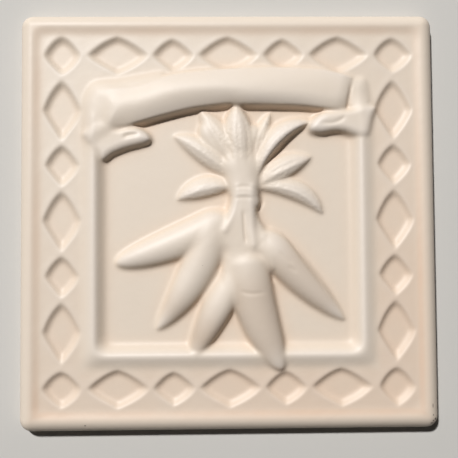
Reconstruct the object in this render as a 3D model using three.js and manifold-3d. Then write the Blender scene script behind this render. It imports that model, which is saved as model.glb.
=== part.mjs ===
// A square wall tile of fired clay, moulded in one piece, face up on its flat back.
// From the edge inwards its face has a rounded shoulder, a low rim, a flat band with a row of
// lozenge pockets, a raised frame and a sunk panel. The panel carries a tied bunch of carrots
// in relief, and a blank ribbon with two tails lies over the top of the frame.
// Millimetres, +Z out of the face, +Y towards the ribbon, origin at the middle of the back.
import * as THREE from 'three';
import { mergeVertices } from 'three/addons/utils/BufferGeometryUtils.js';
import Module from 'manifold-3d';

const wasm = await Module();
wasm.setup();

// Outline of the tile
const TILE_SIDE = 152;
const CORNER_RADIUS = 4.5;
const SHOULDER_RUN = 4;
const SHOULDER_DROP = 3.2;

// Heights above the back
const FIELD_Z = 5.5;
const BAND_Z = 7;
const RIM_Z = 7.8;
const FRAME_Z = 8.4;

// Widths across the face, from the edge inwards
const RIM_WIDTH = 0.8;
const RIM_SLOPE_RUN = 2.8;
const BAND_WIDTH = 15.8;
const FRAME_OUTER_RUN = 3.2;
const FRAME_CREST_WIDTH = 1.8;
const FRAME_INNER_RUN = 3.6;

// Lozenge pockets of the band: half length along the band, half width across it
const LARGE_LOZENGE = { along: 11.1, across: 7.1 };
const SMALL_LOZENGE = { along: 7.7, across: 6 };
const CORNER_LOZENGE = { along: 6.6, across: 6.6 };
const LOZENGE_BOW = 0.08;
const POCKET_DEPTH = 1.3;
const POCKET_WALL_RUN = 2.1;

// Ribbon: its drops are how far its middle line lies below the top run of the frame,
// at even steps from its left end to its right end
const RIBBON_DROPS = [8, 5.3, 1.2, -0.2, -0.4, 0.3, 3];
const RIBBON_END_INSET = 1.6;
const RIBBON_HALF_WIDTH = 6.6;
const RIBBON_LOWER_Z = 9.5;
const RIBBON_UPPER_Z = 7.8;
const RIBBON_CROWN = 1.9;

// The folds behind the ribbon's ends, and the tails that come out of them. Each outline's
// points are millimetres inwards from the frame's side and upwards from the tail's height.
const FOLD_Z = 8.9;
const TAIL_Z = 9.9;
const CLOTH_ROUNDING = 1.1;
const LEFT_TAIL_DROP = 16.5;
const RIGHT_TAIL_DROP = 12.5;
const LEFT_FOLD = [
  [-3.3, 1], [-3.4, 12], [-2.5, 17], [0.7, 19.3], [10.5, 20.2], [17.5, 20.6], [17, 13], [5, 2],
];
const RIGHT_FOLD = [[-3.5, 2], [-3, 9], [-2.1, 14.8], [0.7, 15.6], [6, 13], [6, 4]];
const LEFT_TAIL = [
  [-4.7, -0.2], [-2.7, 1.8], [2.5, 3.4], [7.5, 2.6], [12.5, 2.3], [17.2, 1.4], [19.6, -0.9],
  [18.2, -3.2], [15.5, -4.2], [10.5, -5.3], [6.8, -7.4], [4, -9], [1.2, -7.6], [-1.3, -3.6],
];
const RIGHT_TAIL = [
  [-5.9, 4.6], [-1.5, 6], [3.5, 4.7], [8.5, 4.1], [13.5, 3.2], [16.9, 1.2], [18.6, -1.4],
  [17.4, -3.3], [14, -3.7], [9.5, -3], [5.5, -3.5], [1, -5.2], [-2.4, -5], [-4.3, 0],
];

// The bunch, in millimetres from the middle of the panel. Each form runs along a curve that
// starts at `from`, leans towards `by` and ends at `to`, and `lift` is how far that end rises.
const CARROTS = [
  { from: [1, 1.6], by: [-16, -5.2], to: [-42.2, -15.8], half: 6.2, height: 4.2, lift: 0, taper: 0.7 },
  { from: [3, -16], by: [-4.5, -31], to: [-14.4, -50.3], half: 6.2, height: 4.1, lift: 1, taper: 0.63 },
  { from: [11.5, -4.6], by: [22.6, -19], to: [42.8, -37.6], half: 7.2, height: 4.7, lift: 0, taper: 0.72 },
  { from: [-5.6, -1.2], by: [-8.2, -18.5], to: [-27, -40.4], half: 6.9, height: 4.9, lift: 0, taper: 0.68 },
  { from: [6.4, -11], by: [6.2, -31], to: [17.8, -54.6], half: 8.1, height: 5.6, lift: 1.6, taper: 0.47 },
];
const LEAVES = [
  { from: [6, 12], by: [-8, 15], to: [-18.8, 7.4], half: 3.9, height: 3, lift: 0 },
  { from: [6.5, 10.5], by: [-5, 25.5], to: [-20, 31], half: 4.3, height: 3, lift: 0 },
  { from: [6.5, 12], by: [-1.5, 32], to: [-11.2, 41], half: 4.3, height: 2.7, lift: 0 },
  { from: [9.5, 14], by: [10.5, 29], to: [15.6, 39.4], half: 2.9, height: 2.7, lift: 0 },
  { from: [8, 9.5], by: [12.5, 34.5], to: [31.4, 36.2], half: 3.4, height: 3.2, lift: 0 },
  { from: [7, 10.5], by: [18, 20.5], to: [29.6, 22.6], half: 3.8, height: 3, lift: 0 },
  { from: [6.5, 11], by: [27, 17.5], to: [34.8, 0.6], half: 3.2, height: 2.8, lift: 0 },
  { from: [5.4, 9], by: [3.6, 28], to: [3, 43], half: 6, height: 3.9, lift: 1 },
];
const STEMS = [
  { from: [4, 13], by: [3, 1.5], to: [-7, -8], half: 3, height: 4.5, lift: 0.2 },
  { from: [4.4, 13], by: [3.4, -2], to: [4.4, -15], half: 2.7, height: 4.7, lift: 0.2 },
  { from: [8, 13], by: [6.8, 0], to: [9, -15], half: 3, height: 4.7, lift: 0 },
  { from: [8, 6], by: [9.4, -2], to: [16, -9], half: 2.6, height: 3.8, lift: 0 },
];
const TIE = { from: [-0.2, 9.1], by: [5.6, 10.6], to: [11.6, 9.1], half: 1.8, height: 5.1, lift: 0 };

// How a form swells and thins along its length, as shares of the whole
const CROWN_SHARE = 0.21;
const TAPER_START = 1.85;
const LEAF_BELLY = 1.2;
const LEAF_FULLNESS = 0.8;
const BUTT_FULLNESS = 0.35;

// Working values
const HALF = TILE_SIDE / 2;
const RIM_OUTER = HALF - SHOULDER_RUN;
const RIM_INNER = RIM_OUTER - RIM_WIDTH;
const BAND_OUTER = RIM_INNER - RIM_SLOPE_RUN;
const FRAME_FOOT = BAND_OUTER - BAND_WIDTH;
const CREST_OUTER = FRAME_FOOT - FRAME_OUTER_RUN;
const CREST_INNER = CREST_OUTER - FRAME_CREST_WIDTH;
const PANEL_HALF = CREST_INNER - FRAME_INNER_RUN;
const FRAME_LINE = (CREST_OUTER + CREST_INNER) / 2;
const LOZENGE_LINE = (BAND_OUTER + FRAME_FOOT) / 2;
const SEAT_SINK = 2;
const LEVEL = 1e-6;
const MARGIN = 3;
const ARC_STEPS = 6;
const QUARTER = Math.PI / 2;

const point = (x, y) => new THREE.Vector2(x, y);

// A closed geometry becomes a solid that can be joined and cut
function solidOf(geometry) {
  geometry.deleteAttribute('normal');
  geometry.deleteAttribute('uv');
  const merged = mergeVertices(geometry, 1e-4);
  const corners = merged.index.array;
  const kept = [];
  for (let i = 0; i < corners.length; i += 3) {
    const [a, b, c] = corners.slice(i, i + 3);
    if (a !== b && b !== c && c !== a) kept.push(a, b, c);
  }
  return new wasm.Manifold(new wasm.Mesh({
    numProp: 3,
    vertProperties: new Float32Array(merged.attributes.position.array),
    triVerts: new Uint32Array(kept),
  }));
}

// The finished solid becomes a geometry again
function geometryOf(solid) {
  const mesh = solid.getMesh();
  const geometry = new THREE.BufferGeometry();
  geometry.setAttribute('position', new THREE.BufferAttribute(mesh.vertProperties, 3));
  geometry.setIndex(new THREE.BufferAttribute(mesh.triVerts, 1));
  geometry.computeVertexNormals();
  return geometry;
}

// An outline raised from `bottom` to `top`, its upper edge rounded in by `run` and down by `drop`.
// An extrusion rounds both of its ends, so it starts lower and the lower end is cut off.
function raised(shape, bottom, top, run, drop, steps) {
  const geometry = new THREE.ExtrudeGeometry(shape, {
    depth: top - bottom - drop + MARGIN,
    bevelSize: run,
    bevelOffset: -run,
    bevelThickness: drop,
    bevelSegments: steps,
    curveSegments: ARC_STEPS,
  });
  geometry.translate(0, 0, bottom - MARGIN);
  const below = new THREE.BoxGeometry(2 * TILE_SIDE, 2 * TILE_SIDE, 2 * (MARGIN + drop));
  below.translate(0, 0, bottom - MARGIN - drop);
  return solidOf(geometry).subtract(solidOf(below));
}

// A form bent along a curve in plan. Its own +Y, from 0 to 1, runs along the curve, its +X goes
// to the right of it and its +Z up from the panel. Its upper half rises with the lift, and its
// lower half is pressed to one even depth inside the clay, so no hollow is left below a raised end.
function laidAlong(geometry, curve, lift) {
  const position = geometry.attributes.position;
  for (let i = 0; i < position.count; i += 1) {
    const along = THREE.MathUtils.clamp(position.getY(i), 0, 1);
    const centre = curve.getPointAt(along);
    const direction = curve.getTangentAt(along);
    const right = position.getX(i);
    const up = position.getZ(i);
    const above = up > -LEVEL ? lift * along + up : -SEAT_SINK;
    position.setXYZ(
      i,
      centre.x + direction.y * right,
      centre.y - direction.x * right,
      FIELD_Z + above,
    );
  }
  return geometry;
}

function roundedSquare(half, radius) {
  const shape = new THREE.Shape();
  const flat = half - radius;
  shape.absarc(flat, flat, radius, 0, QUARTER);
  shape.absarc(-flat, flat, radius, QUARTER, 2 * QUARTER);
  shape.absarc(-flat, -flat, radius, 2 * QUARTER, 3 * QUARTER);
  shape.absarc(flat, -flat, radius, 3 * QUARTER, 4 * QUARTER);
  return shape;
}

function blank() {
  const outline = roundedSquare(HALF, CORNER_RADIUS);
  return raised(outline, 0, RIM_Z, SHOULDER_RUN, SHOULDER_DROP, ARC_STEPS);
}

// The section of the face turned in four steps, so that its corners are mitred. A four-sided
// lathe has its corners at the radius, so half widths are stretched by the root of two.
function mouldedFace() {
  const outerRise = FRAME_Z - BAND_Z;
  const innerRise = FRAME_Z - FIELD_Z;
  const section = [
    point(0, -MARGIN),
    point(HALF + MARGIN, -MARGIN),
    point(HALF + MARGIN, RIM_Z + MARGIN),
    point(RIM_INNER, RIM_Z + MARGIN),
    point(RIM_INNER, RIM_Z),
    point(BAND_OUTER, BAND_Z),
    point(FRAME_FOOT, BAND_Z),
    point(CREST_OUTER + FRAME_OUTER_RUN / 2, FRAME_Z - outerRise / 3),
    point(CREST_OUTER, FRAME_Z),
    point(CREST_INNER, FRAME_Z),
    point(CREST_INNER - FRAME_INNER_RUN / 3, FRAME_Z - innerRise / 6),
    point(PANEL_HALF + FRAME_INNER_RUN / 4, FIELD_Z + innerRise / 5),
    point(PANEL_HALF, FIELD_Z),
    point(0, FIELD_Z),
  ];
  const stretched = section.map(({ x, y }) => point(x * Math.SQRT2, y));
  const geometry = new THREE.LatheGeometry(stretched, 4, QUARTER / 2);
  geometry.rotateX(QUARTER);
  return solidOf(geometry);
}

function lozenge({ along, across }) {
  const shape = new THREE.Shape();
  shape.moveTo(along, 0);
  for (const [x, y] of [[0, across], [-along, 0], [0, -across], [along, 0]]) {
    const start = shape.currentPoint;
    const bend = (1 + 2 * LOZENGE_BOW) / 2;
    shape.quadraticCurveTo((start.x + x) * bend, (start.y + y) * bend, x, y);
  }
  return shape;
}

function pocket(size, x, y, turn) {
  const geometry = new THREE.ExtrudeGeometry(lozenge(size), {
    depth: MARGIN,
    bevelSize: POCKET_WALL_RUN,
    bevelOffset: -POCKET_WALL_RUN,
    bevelThickness: POCKET_DEPTH,
    bevelSegments: 1,
    curveSegments: 3,
  });
  geometry.rotateZ(turn);
  geometry.translate(x, y, BAND_Z);
  return solidOf(geometry);
}

// One side of the band after another: large and small pockets in turn, then a corner's
function pockets() {
  const pitch = LOZENGE_LINE / 3;
  const cuts = [];
  for (let side = 0; side < 4; side += 1) {
    const turn = side * QUARTER;
    const place = (size, along) => {
      const at = point(along, LOZENGE_LINE).rotateAround(point(0, 0), turn);
      cuts.push(pocket(size, at.x, at.y, turn));
    };
    for (const step of [-2, 0, 2]) place(LARGE_LOZENGE, step * pitch);
    for (const step of [-1, 1]) place(SMALL_LOZENGE, step * pitch);
    place(CORNER_LOZENGE, 3 * pitch);
  }
  return cuts;
}

// Half width along a form, as a share of its widest place
function carrotTaper(t, taper) {
  if (t < CROWN_SHARE) return Math.sqrt(1 - (1 - t / CROWN_SHARE) ** 2);
  const beyond = (t - CROWN_SHARE) / (1 - CROWN_SHARE);
  return (1 - beyond ** TAPER_START) ** taper;
}

const leafTaper = (t) => Math.sin(Math.PI * t ** LEAF_BELLY) ** LEAF_FULLNESS;
const buttTaper = (t) => Math.sin(Math.PI * t) ** BUTT_FULLNESS;

// A round form of the given taper, pressed to its height and bent along its curve
function plantForm({ from, by, to, half, height, lift }, taperAt, steps, sides) {
  const profile = [point(0, 0)];
  for (let i = 1; i < steps; i += 1) {
    const t = (1 - Math.cos((Math.PI * i) / steps)) / 2;
    profile.push(point(half * taperAt(t), t));
  }
  profile.push(point(0, 1));
  const geometry = new THREE.LatheGeometry(profile, sides);
  geometry.scale(1, 1, height / half);
  const curve = new THREE.QuadraticBezierCurve(point(...from), point(...by), point(...to));
  return solidOf(laidAlong(geometry, curve, lift));
}

function bunch() {
  return [
    ...CARROTS.map((carrot) => plantForm(carrot, (t) => carrotTaper(t, carrot.taper), 14, 18)),
    ...LEAVES.map((leaf) => plantForm(leaf, leafTaper, 10, 12)),
    ...STEMS.map((stem) => plantForm(stem, buttTaper, 8, 12)),
    plantForm(TIE, buttTaper, 8, 12),
  ];
}

// The ribbon arches from one side of the frame to the other, full in the middle and higher
// along its lower edge
function ribbon() {
  const reach = FRAME_LINE - RIBBON_END_INSET;
  const last = RIBBON_DROPS.length - 1;
  const middle = new THREE.SplineCurve(
    RIBBON_DROPS.map((drop, i) => point(reach * (2 * i / last - 1), FRAME_LINE - drop)),
  );
  const geometry = new THREE.BoxGeometry(2, 1, 2, 6, 20, 1);
  geometry.translate(0, 0.5, 0);
  const position = geometry.attributes.position;
  for (let i = 0; i < position.count; i += 1) {
    const share = position.getX(i);
    const edge = THREE.MathUtils.lerp(RIBBON_UPPER_Z, RIBBON_LOWER_Z, (1 + share) / 2);
    const top = edge + RIBBON_CROWN * (1 - share * share) - FIELD_Z;
    position.setX(i, share * RIBBON_HALF_WIDTH);
    position.setZ(i, position.getZ(i) > 0 ? top : -SEAT_SINK);
  }
  return solidOf(laidAlong(geometry, middle, 0));
}

// A fold or tail on one side of the frame, its outline a smooth closed curve.
// `side` is -1 on the left and 1 on the right.
function cloth(outline, side, drop, top) {
  const points = outline.map(([inwards, up]) => (
    new THREE.Vector3(side * (FRAME_LINE - inwards), FRAME_LINE - drop + up, 0)
  ));
  const curve = new THREE.CatmullRomCurve3(points, true, 'centripetal');
  const around = curve.getPoints(2 * points.length).slice(1);
  const shape = new THREE.Shape(around.map(({ x, y }) => point(x, y)));
  return raised(shape, FIELD_Z - SEAT_SINK, top, CLOTH_ROUNDING, CLOTH_ROUNDING, 3);
}

function tile() {
  let body = mouldedFace().intersect(blank());
  for (const cut of pockets()) body = body.subtract(cut);
  const relief = [
    cloth(LEFT_FOLD, -1, LEFT_TAIL_DROP, FOLD_Z),
    cloth(RIGHT_FOLD, 1, RIGHT_TAIL_DROP, FOLD_Z),
    cloth(LEFT_TAIL, -1, LEFT_TAIL_DROP, TAIL_Z),
    cloth(RIGHT_TAIL, 1, RIGHT_TAIL_DROP, TAIL_Z),
    ribbon(),
    ...bunch(),
  ];
  for (const form of relief) body = body.add(form);
  return body;
}

const glaze = new THREE.MeshStandardMaterial({ color: 0xdecdbd, roughness: 0.35, metalness: 0 });
const mesh = new THREE.Mesh(geometryOf(tile()), glaze);
mesh.name = 'tile';

const part = new THREE.Group();
part.add(mesh);

export default part;
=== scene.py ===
"""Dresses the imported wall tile: one closed piece with its relief pressed into the glazed face.

The tile is pale earthenware, pressed in a mould, fired, and covered with a warm white satin
glaze. It lies face up on its flat back, with +Y towards the ribbon. Sizes are millimetres from
the middle of the back, and turn to metres where the mesh is made.
"""

import logging
import math
from abc import ABC, abstractmethod
from dataclasses import dataclass, field
from enum import Enum

import bmesh
import bpy
import numpy as np
from mathutils import Euler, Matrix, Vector


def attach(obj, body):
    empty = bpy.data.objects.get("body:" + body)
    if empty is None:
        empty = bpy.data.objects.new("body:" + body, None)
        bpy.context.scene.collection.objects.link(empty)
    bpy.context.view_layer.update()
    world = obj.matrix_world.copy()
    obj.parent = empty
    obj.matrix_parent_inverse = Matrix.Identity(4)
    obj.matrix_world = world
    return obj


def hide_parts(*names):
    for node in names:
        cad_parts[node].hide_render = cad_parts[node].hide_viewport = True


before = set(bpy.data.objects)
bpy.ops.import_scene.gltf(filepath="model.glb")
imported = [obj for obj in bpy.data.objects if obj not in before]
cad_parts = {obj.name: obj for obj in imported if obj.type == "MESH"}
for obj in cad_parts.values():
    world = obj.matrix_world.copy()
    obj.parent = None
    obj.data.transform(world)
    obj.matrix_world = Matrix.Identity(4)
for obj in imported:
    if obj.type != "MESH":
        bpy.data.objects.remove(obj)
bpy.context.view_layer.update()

logger = logging.getLogger("wall_tile")

MM = 0.001
TILE_HALF = 76.0
FIELD_Z = 5.3
BAND_Z = 7.0
RIM_Z = 7.8
FRAME_Z = 8.6
EDGE_SLOPE = 8.0
FILLET_REACH = 2.0
ARC_SAMPLES = 50

Points = tuple[tuple[float, float], ...]


# Shaping helpers

def smooth_step(share: np.ndarray) -> np.ndarray:
    """Rises softly from 0 to 1 as the share does.

    Args:
        share: Values of which the part between 0 and 1 matters.

    Returns:
        The eased values.
    """
    share = np.clip(share, 0.0, 1.0)
    return share * share * (3.0 - 2.0 * share)


def risen(place: np.ndarray, start: float, run: float) -> np.ndarray:
    """Rises softly from 0 at the start to 1 after the run; a negative run rises backwards."""
    return smooth_step((place - start) / run)


def smooth_max(first: np.ndarray, second: np.ndarray, blend: float) -> np.ndarray:
    """Takes the higher of two surfaces, with a soft fillet where they cross.

    Args:
        first: Heights of one surface.
        second: Heights of the other surface.
        blend: Height difference over which the fillet works, in millimetres.

    Returns:
        The joined heights.
    """
    near = np.maximum(blend - np.abs(first - second), 0.0) / blend
    return np.maximum(first, second) + near * near * blend / 4.0


def arc_between(points: Points) -> np.ndarray:
    """Samples a curve that leaves the first point, leans to the second and ends at the third.

    Args:
        points: Start, lean and end in plan.

    Returns:
        The samples, evenly apart, one row each.
    """
    start, lean, end = (np.array(p, float) for p in points)
    t = np.linspace(0.0, 1.0, 4 * ARC_SAMPLES)[:, None]
    curve = (1 - t) ** 2 * start + 2 * t * (1 - t) * lean + t ** 2 * end
    steps = np.hypot(*np.diff(curve, axis=0).T)
    travelled = np.concatenate([[0.0], np.cumsum(steps)])
    even = np.linspace(0.0, travelled[-1], ARC_SAMPLES)
    return np.stack([np.interp(even, travelled, axis) for axis in curve.T], axis=1)


def curve_through(points: Points, per_span: int = 6, closed: bool = False) -> np.ndarray:
    """Samples a smooth curve that passes through all the points.

    Args:
        points: The points in plan.
        per_span: Samples between two points.
        closed: Whether the curve returns to its first point.

    Returns:
        The samples, one row each; a closed curve ends on its first sample.
    """
    fixed = np.array(points, float)
    if closed:
        around = np.vstack([fixed[-1], fixed, fixed[0], fixed[1]])
    else:
        around = np.vstack([2 * fixed[0] - fixed[1], fixed, 2 * fixed[-1] - fixed[-2]])
    t = np.linspace(0.0, 1.0, per_span, endpoint=False)[:, None]
    spans = []
    for a, b, c, d in zip(around, around[1:], around[2:], around[3:]):
        spans.append(0.5 * (2 * b + (c - a) * t + (2 * a - 5 * b + 4 * c - d) * t ** 2
                            + (3 * b - a - 3 * c + d) * t ** 3))
    last = fixed[0] if closed else fixed[-1]
    return np.vstack([*spans, last])


def nearest_on(line: np.ndarray, x: np.ndarray, y: np.ndarray) -> tuple[np.ndarray, ...]:
    """Finds, for each place, the nearest point of a line.

    Args:
        line: Points of the line, one row each.
        x: Places across.
        y: Places up.

    Returns:
        How far along the line the nearest point is, from 0 to 1; the distance with its sign,
        positive to the left of the line; and the plain distance.
    """
    lengths = np.hypot(*np.diff(line, axis=0).T)
    starts = np.concatenate([[0.0], np.cumsum(lengths)])
    best = np.full(x.shape, np.inf)
    along = np.zeros(x.shape)
    side = np.zeros(x.shape)
    for corner, step, length, begun in zip(line, np.diff(line, axis=0), lengths, starts):
        if length < 1e-9:
            continue
        ux, uy = step / length
        rx, ry = x - corner[0], y - corner[1]
        reach = np.clip(rx * ux + ry * uy, 0.0, length)
        ox, oy = rx - reach * ux, ry - reach * uy
        distance = np.hypot(ox, oy)
        closer = distance < best
        best = np.where(closer, distance, best)
        along = np.where(closer, (begun + reach) / starts[-1], along)
        side = np.where(closer, np.sign(ux * oy - uy * ox) * distance, side)
    return along, side, best


def depth_inside(outline: np.ndarray, x: np.ndarray, y: np.ndarray) -> np.ndarray:
    """Measures how deep each place lies inside a closed outline.

    Args:
        outline: Points of the outline, the last one on the first.
        x: Places across.
        y: Places up.

    Returns:
        Distances to the outline, positive inside and negative outside.
    """
    _, _, distance = nearest_on(outline, x, y)
    within = np.zeros(x.shape, bool)
    for (x1, y1), (x2, y2) in zip(outline, outline[1:]):
        if y1 == y2:
            continue
        crossing = (x2 - x1) * (y - y1) / (y2 - y1) + x1
        within ^= ((y1 > y) != (y2 > y)) & (x < crossing)
    return np.where(within, distance, -distance)


# What is pressed into the face

class Form(ABC):
    """A raised form that is joined to the face with a soft fillet."""

    blend: float

    @property
    @abstractmethod
    def line(self) -> np.ndarray:
        """Points that the form lies round, in plan."""

    @property
    def reach(self) -> float:
        """How far the form and its fillet stand out from the line, in millimetres."""
        return FILLET_REACH

    @abstractmethod
    def heights(self, x: np.ndarray, y: np.ndarray) -> np.ndarray:
        """Heights of the form above the back.

        Args:
            x: Places across.
            y: Places up.

        Returns:
            The heights, which keep falling outside the form.
        """


@dataclass
class PressedFace:
    """The tile's face as heights above the back, on an even square of samples."""

    per_mm: float = 4.0
    half: float = 78.0
    x: np.ndarray = field(init=False, repr=False)
    y: np.ndarray = field(init=False, repr=False)
    z: np.ndarray = field(init=False, repr=False)

    def __post_init__(self) -> None:
        """Lays out the samples."""
        even = (np.arange(int(2 * self.half * self.per_mm)) + 0.5) / self.per_mm - self.half
        self.x, self.y = np.meshgrid(even, even)
        self.z = np.zeros_like(self.x)

    def around(self, line: np.ndarray, reach: float) -> tuple[slice, slice]:
        """Gives the window of samples round a line.

        Args:
            line: Points of the line.
            reach: How far the window goes beyond them.

        Returns:
            The window's rows and columns.
        """
        low = np.clip((line.min(axis=0) - reach + self.half) * self.per_mm, 0, None).astype(int)
        high = ((line.max(axis=0) + reach + self.half) * self.per_mm).astype(int) + 1
        return slice(low[1], high[1]), slice(low[0], high[0])

    def join(self, form: Form) -> None:
        """Joins a raised form to the face."""
        here = self.around(form.line, form.reach)
        heights = form.heights(self.x[here], self.y[here])
        self.z[here] = smooth_max(self.z[here], heights, form.blend)

    def carve(self, stroke: "Stroke") -> None:
        """Draws a tool's stroke into the face."""
        here = self.around(stroke.line, stroke.reach)
        self.z[here] -= stroke.depths(self.x[here], self.y[here])

    def softened(self, layer: np.ndarray, spread: float) -> np.ndarray:
        """Evens out a layer of samples, as a coat of glaze does.

        Args:
            layer: Values on the face's samples.
            spread: Width of the softening, in millimetres.

        Returns:
            The evened values.
        """
        sigma = spread * self.per_mm
        steps = np.arange(-math.ceil(3 * sigma), math.ceil(3 * sigma) + 1)
        weights = np.exp(-0.5 * (steps / sigma) ** 2)
        weights /= weights.sum()
        for axis in (0, 1):
            layer = sum(w * np.roll(layer, s, axis) for w, s in zip(weights, steps))
        return layer

    def sampled(self, layer: np.ndarray, x: np.ndarray, y: np.ndarray) -> np.ndarray:
        """Reads a layer between its samples.

        Args:
            layer: Values on the face's samples.
            x: Places across.
            y: Places up.

        Returns:
            The values at the places.
        """
        column = (x + self.half) * self.per_mm - 0.5
        row = (y + self.half) * self.per_mm - 0.5
        c, r = np.floor(column).astype(int), np.floor(row).astype(int)
        u, v = column - c, row - r
        lower = layer[r, c] * (1 - u) + layer[r, c + 1] * u
        upper = layer[r + 1, c] * (1 - u) + layer[r + 1, c + 1] * u
        return lower * (1 - v) + upper * v


@dataclass(frozen=True)
class Stroke:
    """A groove drawn with a modelling tool; a negative depth raises a ridge instead."""

    points: Points
    width: float
    depth: float
    faded: float = 0.3

    @property
    def line(self) -> np.ndarray:
        """The stroke's middle line."""
        return curve_through(self.points) if len(self.points) > 2 else np.array(self.points, float)

    @property
    def reach(self) -> float:
        """How far the stroke is felt."""
        return 3.0 * self.width

    def depths(self, x: np.ndarray, y: np.ndarray) -> np.ndarray:
        """Depths of the stroke, which dies out at both of its ends.

        Args:
            x: Places across.
            y: Places up.

        Returns:
            The depths below the face.
        """
        along, _, distance = nearest_on(self.line, x, y)
        ends = smooth_step(np.minimum(along, 1.0 - along) / max(self.faded, 1e-6))
        return self.depth * np.exp(-((distance / self.width) ** 2)) * ends


@dataclass(frozen=True)
class SoftSpot:
    """A place where the glaze lies thick and takes the sharpness off the relief."""

    middle: tuple[float, float]
    radii: tuple[float, float]
    spread: float
    fade: float = 0.5

    def share(self, x: np.ndarray, y: np.ndarray) -> np.ndarray:
        """Share of the softening, 1 in the middle and 0 beyond the radii.

        Args:
            x: Places across.
            y: Places up.

        Returns:
            The shares.
        """
        away = np.hypot((x - self.middle[0]) / self.radii[0], (y - self.middle[1]) / self.radii[1])
        return smooth_step((1.0 - away) / self.fade)


@dataclass(frozen=True)
class MouldedSection:
    """The section of the face, the same on all four sides.

    Its places are distances from the middle, and a pair is a start and a run. Under the ribbon
    the frame is lowered to the band.
    """

    panel_half: float = 42.6
    wall_foot: float = 44.7
    wall_share: float = 0.9
    wall_top: float = 48.5
    crest: float = 49.2
    frame_foot: float = 53.2
    lowered: tuple[float, float] = (42.0, 5.0)
    rim: tuple[float, float] = (68.3, 3.2)
    shoulder_run: float = 4.6
    shoulder_drop: float = 5.2
    corner_radius: float = 4.5
    corner_blend: float = 4.0

    def heights(self, x: np.ndarray, y: np.ndarray) -> np.ndarray:
        """Heights of the panel, frame, band and rim.

        Args:
            x: Places across.
            y: Places up.

        Returns:
            The heights above the back.
        """
        out = smooth_max(np.abs(x), np.abs(y), self.corner_blend)
        frame_z = FRAME_Z + (BAND_Z - FRAME_Z) * risen(y, *self.lowered)
        wall = smooth_step((self.wall_top - out) / (self.wall_top - self.wall_foot))
        foot = smooth_step((self.crest - out) / (self.crest - self.panel_half))
        sunk = self.wall_share * wall + (1.0 - self.wall_share) * foot
        z = frame_z + (FIELD_Z - frame_z) * sunk
        outer = np.clip((out - self.crest) / (self.frame_foot - self.crest), 0.0, 1.0)
        z = np.where(out > self.crest, frame_z + (BAND_Z - frame_z) * outer, z)
        rim_z = BAND_Z + (RIM_Z - BAND_Z) * risen(out, *self.rim)
        return np.where(out > self.rim[0], rim_z, z)

    def shoulder_lines(self, steps: int) -> np.ndarray:
        """Distances from the middle at which the rounded shoulder is cut by the mesh.

        Args:
            steps: Number of lines over the shoulder.

        Returns:
            The distances, denser towards the steep edge.
        """
        turn = np.linspace(0.0, math.pi / 2, steps + 1)[1:]
        return TILE_HALF - self.shoulder_run + self.shoulder_run * np.sin(turn)

    def rounded(self, x: np.ndarray, y: np.ndarray) -> tuple[np.ndarray, np.ndarray]:
        """Draws the corners of a square plan in to the corner radius.

        Args:
            x: Places across.
            y: Places up.

        Returns:
            The places across and up in the rounded plan.
        """
        straight = TILE_HALF - self.corner_radius
        past_x, past_y = np.abs(x) - straight, np.abs(y) - straight
        corner = (past_x > 0.0) & (past_y > 0.0)
        away = np.hypot(np.where(corner, past_x, 1.0), past_y)
        pull = np.maximum(past_x, past_y) / away
        return (np.where(corner, np.sign(x) * (straight + past_x * pull), x),
                np.where(corner, np.sign(y) * (straight + past_y * pull), y))

    def fall(self, out: np.ndarray) -> np.ndarray:
        """Gives how far the shoulder has dropped at a distance from the middle."""
        share = np.clip((out - TILE_HALF + self.shoulder_run) / self.shoulder_run, 0.0, 1.0)
        return self.shoulder_drop * (1.0 - np.sqrt(1.0 - share * share))


class Lozenge(Enum):
    """The pockets of the band: half length along it, half width across it and squareness."""

    LARGE = (11.0, 6.9, 1.22)
    SMALL = (7.5, 6.1, 1.25)
    CORNER = (7.0, 6.5, 1.35)


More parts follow.
